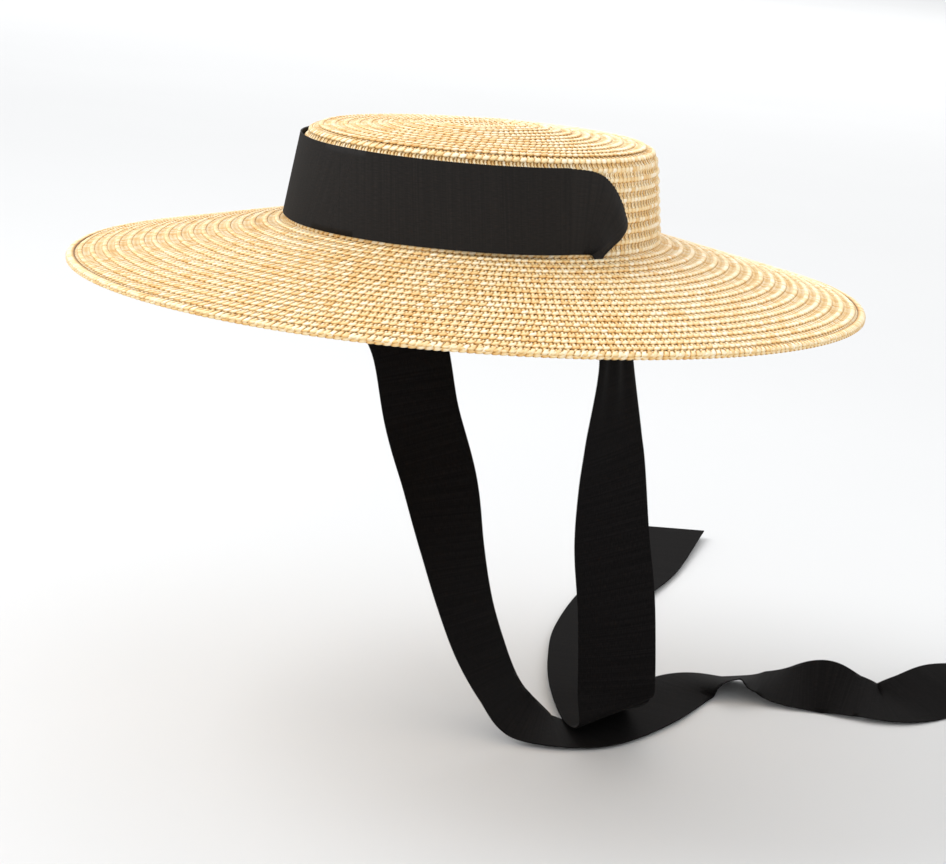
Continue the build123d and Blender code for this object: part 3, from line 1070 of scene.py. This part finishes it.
# materials
def wheatStraw():
    # split and flattened wheat straw, bleached by the sun: glossy along the straw,
    # every straw its own tone
    material, tree, shader = newMaterial("wheatStraw")
    tone = addNode(tree, "Attribute", attribute_name="splintTone")
    place = addNode(tree, "TexCoord")
    patches = addNode(
        tree, "TexNoise", {"Vector": place.outputs["Object"], "Scale": 45.0, "Detail": 2.0}
    )
    mixed = addNode(
        tree, "Math", {0: patches.outputs[0], 1: 0.24, 2: -0.12}, operation="MULTIPLY_ADD"
    )
    lively = addNode(
        tree, "Math", {0: tone.outputs["Fac"], 1: mixed.outputs[0]}, operation="ADD", use_clamp=True
    )
    straws = addNode(
        tree,
        "ValToRGB",
        {"Fac": lively.outputs[0]},
        ramp=(
            (0.0, "#EBCB92"),
            (0.2, "#F4DEB0"),
            (0.5, "#F8EAC9"),
            (0.82, "#FAF2DD"),
            (1.0, "#FCF9EF"),
        ),
    )
    # painted shade: where the straws run down into the gaps between them, their colour is
    # multiplied towards deep orange, then brown
    depth = addNode(tree, "Attribute", attribute_name="strawGapShade")
    shade = addNode(
        tree,
        "ValToRGB",
        {"Fac": depth.outputs["Fac"]},
        ramp=((0.0, "#FFFFFF"), (0.38, "#FFF2D6"), (0.75, "#E0B878"), (1.0, "#75522B")),
    )
    colour = addNode(
        tree,
        "Mix",
        {"Factor": 1.0, 6: straws.outputs["Color"], 7: shade.outputs["Color"]},
        data_type="RGBA",
        blend_type="MULTIPLY",
    )
    # fine grain along each straw: about 12 streaks over its width
    uv = addNode(tree, "UVMap", uv_map="UVMap")
    stretch = addNode(tree, "Mapping", {"Vector": uv.outputs[0], "Scale": (36.0, 1.6, 1.0)})
    apart = addNode(tree, "CombineXYZ", {"Z": tone.outputs["Fac"]})
    far = addNode(tree, "VectorMath", {0: apart.outputs[0], 1: (0, 0, 90.0)}, operation="MULTIPLY")
    grainAt = addNode(
        tree, "VectorMath", {0: stretch.outputs[0], 1: far.outputs[0]}, operation="ADD"
    )
    grain = addNode(tree, "TexNoise", {"Vector": grainAt.outputs[0], "Scale": 1.0, "Detail": 3.0})
    grainShade = addNode(
        tree, "ValToRGB", {"Fac": grain.outputs[0]}, ramp=((0.3, "#C9A468"), (0.62, "#FFFFFF"))
    )
    tinted = addNode(
        tree,
        "Mix",
        {"Factor": 0.25, 6: colour.outputs[2], 7: grainShade.outputs["Color"]},
        data_type="RGBA",
        blend_type="MULTIPLY",
    )
    tree.links.new(tinted.outputs[2], shader.inputs["Base Color"])
    gloss = addNode(tree, "MapRange", {"Value": grain.outputs[0], "To Min": 0.34, "To Max": 0.56})
    tree.links.new(gloss.outputs[0], shader.inputs["Roughness"])
    bump = addNode(tree, "Bump", {"Height": grain.outputs[0], "Strength": 0.25, "Distance": 0.0002})
    tree.links.new(bump.outputs[0], shader.inputs["Normal"])
    shader.inputs["IOR"].default_value = 1.5
    return material


def blackGrosgrain(name, dark, light, shine):
    # dyed grosgrain: a firm ribbon whose thick weft stands in ribs under fine warp threads,
    # with a soft sheen
    material, tree, shader = newMaterial(name)
    uv = addNode(tree, "UVMap", uv_map="UVMap")
    # warp threads 0.25 mm apart, drawn at 0.5 mm so that they show
    warpAt = addNode(tree, "Mapping", {"Vector": uv.outputs[0], "Scale": (2000.0, 300.0, 1.0)})
    warp = addNode(tree, "TexNoise", {"Vector": warpAt.outputs[0], "Scale": 1.0, "Detail": 1.5})
    ribAt = addNode(tree, "Mapping", {"Vector": uv.outputs[0], "Scale": (12.0, 1000.0, 1.0)})
    rib = addNode(tree, "TexNoise", {"Vector": ribAt.outputs[0], "Scale": 1.0, "Detail": 2.0})
    blend = addNode(tree, "Math", {0: warp.outputs[0], 1: rib.outputs[0]}, operation="MULTIPLY")
    colour = addNode(
        tree, "ValToRGB", {"Fac": blend.outputs[0]}, ramp=((0.12, dark), (0.42, light))
    )
    tree.links.new(colour.outputs["Color"], shader.inputs["Base Color"])
    bump = addNode(tree, "Bump", {"Height": blend.outputs[0], "Strength": 0.5, "Distance": 0.0003})
    tree.links.new(bump.outputs[0], shader.inputs["Normal"])
    shader.inputs["Roughness"].default_value = 0.75
    shader.inputs["Specular IOR Level"].default_value = shine
    shader.inputs["Sheen Weight"].default_value = 0.01
    shader.inputs["Sheen Roughness"].default_value = 0.4
    return material


waveUnit = 20  # radians that a wave texture runs through in a metre, at scale 1


def cottonTwill(name, colours, across, along):
    # woven cotton: two sets of matt threads that cross. They are drawn coarse: across and along
    # are in radians to the metre, so a thread is 2 pi / 1600 metres, or 3.9 mm, in the cotton
    material, tree, shader = newMaterial(name)
    uv = addNode(tree, "UVMap", uv_map="UVMap")
    waves = []
    for direction, count in (("X", along), ("Y", across)):
        waves.append(
            addNode(
                tree,
                "TexWave",
                {"Vector": uv.outputs[0], "Scale": count / waveUnit, "Distortion": 0.4},
                bands_direction=direction,
            )
        )
    weave = addNode(
        tree, "Math", {0: waves[0].outputs["Fac"], 1: waves[1].outputs["Fac"]}, operation="MULTIPLY"
    )
    slub = addNode(tree, "TexNoise", {"Vector": uv.outputs[0], "Scale": 260.0, "Detail": 3.0})
    both = addNode(
        tree, "Math", {0: slub.outputs[0], 1: 0.6, 2: weave.outputs[0]}, operation="MULTIPLY_ADD"
    )
    colour = addNode(
        tree, "ValToRGB", {"Fac": both.outputs[0]}, ramp=((0.2, colours[0]), (0.95, colours[1]))
    )
    tree.links.new(colour.outputs["Color"], shader.inputs["Base Color"])
    bump = addNode(tree, "Bump", {"Height": both.outputs[0], "Strength": 0.5, "Distance": 0.0002})
    tree.links.new(bump.outputs[0], shader.inputs["Normal"])
    shader.inputs["Roughness"].default_value = 0.85
    shader.inputs["Sheen Weight"].default_value = 0.15
    return material


def spunThread(name, dark, light):
    # spun thread, its twist drawn coarse: one turn in about 6 mm
    material, tree, shader = newMaterial(name)
    place = addNode(tree, "TexCoord")
    twist = addNode(
        tree,
        "TexWave",
        {"Vector": place.outputs["Object"], "Scale": 100.0, "Distortion": 1.5},
        bands_direction="DIAGONAL",
    )
    colour = addNode(
        tree, "ValToRGB", {"Fac": twist.outputs["Fac"]}, ramp=((0.1, dark), (0.7, light))
    )
    tree.links.new(colour.outputs["Color"], shader.inputs["Base Color"])
    bump = addNode(tree, "Bump", {"Height": twist.outputs["Fac"], "Distance": 0.0001})
    tree.links.new(bump.outputs[0], shader.inputs["Normal"])
    shader.inputs["Roughness"].default_value = 0.6
    return material


straws = wheatStraw()
# one ribbon in two copies of its grosgrain: painted light on the band, drawn lighter and shinier,
# and painted shade on the ties, drawn darker and duller
bandGrosgrainLit = blackGrosgrain("bandGrosgrainLit", "#0A0807", "#1A1614", 0.28)
tieGrosgrainShaded = blackGrosgrain("tieGrosgrainShaded", "#0A0909", "#161414", 0.05)
naturalCotton = cottonTwill("naturalCotton", ("#CDBF9F", "#F1E8D2"), 1600, 1600)
labelSatin = cottonTwill("labelSatin", ("#DAD3C4", "#F6F2E8"), 4000, 2500)
finishes = (
    (strawPieces, straws, "straw_plait"),
    ((ribbonBand,), bandGrosgrainLit, "grosgrain"),
    ((tieLeft, tieRight), tieGrosgrainShaded, "grosgrain"),
    ((sweatband, joinTape), naturalCotton, "cotton_tape"),
    ((label,), labelSatin, "label_satin"),
    ((stitches,), spunThread("naturalThread", "#C9B890", "#EFE4C8"), "sewing_thread"),
    ((tacks,), spunThread("blackThread", "#0C0B0B", "#242120"), "ribbon_thread"),
)
for pieces, material, slotName in finishes:
    for piece in pieces:
        piece.data.materials.clear()
        piece.data.materials.append(material)
        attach(piece, "root")
print("materials on")


# plain floor and soft studio light
studio = {
    "floorHalf": 40.0,
    "floorDrop": 0.2,  # millimetres under the lowest point
    "worldStrength": 1.0,
    "keyStrength": 28.0,
    "keySize": 1.4,
    "keyPlace": (-1.1, -0.95, 1.6),
    "fillStrength": 8.0,
    "fillPlace": (1.6, -1.6, 0.7),
    "farPlace": (-4.8, 5.6, 4.5),
    "farStrength": 205.0,
    "farSize": 6.0,
}


def studioFloor():
    deselectAll()
    low = cadBox[0][2] - studio["floorDrop"] * mm
    bpy.ops.mesh.primitive_plane_add(size=2 * studio["floorHalf"], location=(0, 0, low))
    floor = bpy.context.object
    floor.name = "studioFloor"
    material, tree, shader = newMaterial("paperSweep")
    place = addNode(tree, "TexCoord")
    mottle = addNode(tree, "TexNoise", {"Vector": place.outputs["Object"], "Scale": 1.5})
    colour = addNode(
        tree, "ValToRGB", {"Fac": mottle.outputs[0]}, ramp=((0.3, "#D4D5D6"), (0.7, "#D6D7D8"))
    )
    tree.links.new(colour.outputs["Color"], shader.inputs["Base Color"])
    shader.inputs["Roughness"].default_value = 0.75
    floor.data.materials.append(material)


def softLight(name, place, size, strength, target=(0, 0, -0.05)):
    bpy.ops.object.light_add(type="AREA", location=place)
    light = bpy.context.object
    light.name = name
    light.data.size = size
    light.data.energy = strength
    aim = Vector(target) - Vector(place)
    light.rotation_euler = aim.to_track_quat("-Z", "Y").to_euler()


def studioLight():
    world = bpy.data.worlds.new("softWorld")
    hatScene.world = world
    world.use_nodes = True
    sky = world.node_tree.nodes["Background"]
    sky.inputs["Color"].default_value = (1, 1, 1, 1)
    sky.inputs["Strength"].default_value = studio["worldStrength"]
    softLight("keyLight", studio["keyPlace"], studio["keySize"], studio["keyStrength"])
    softLight("fillLight", studio["fillPlace"], studio["keySize"], studio["fillStrength"])
    # the floor behind the hat is lit on its own, so that it goes up to white
    far = studio["farPlace"]
    softLight("farLight", far, studio["farSize"], studio["farStrength"], (far[0], far[1], 0))
    hatScene.view_settings.view_transform = "Standard"


studioFloor()
studioLight()
print("studio lit")
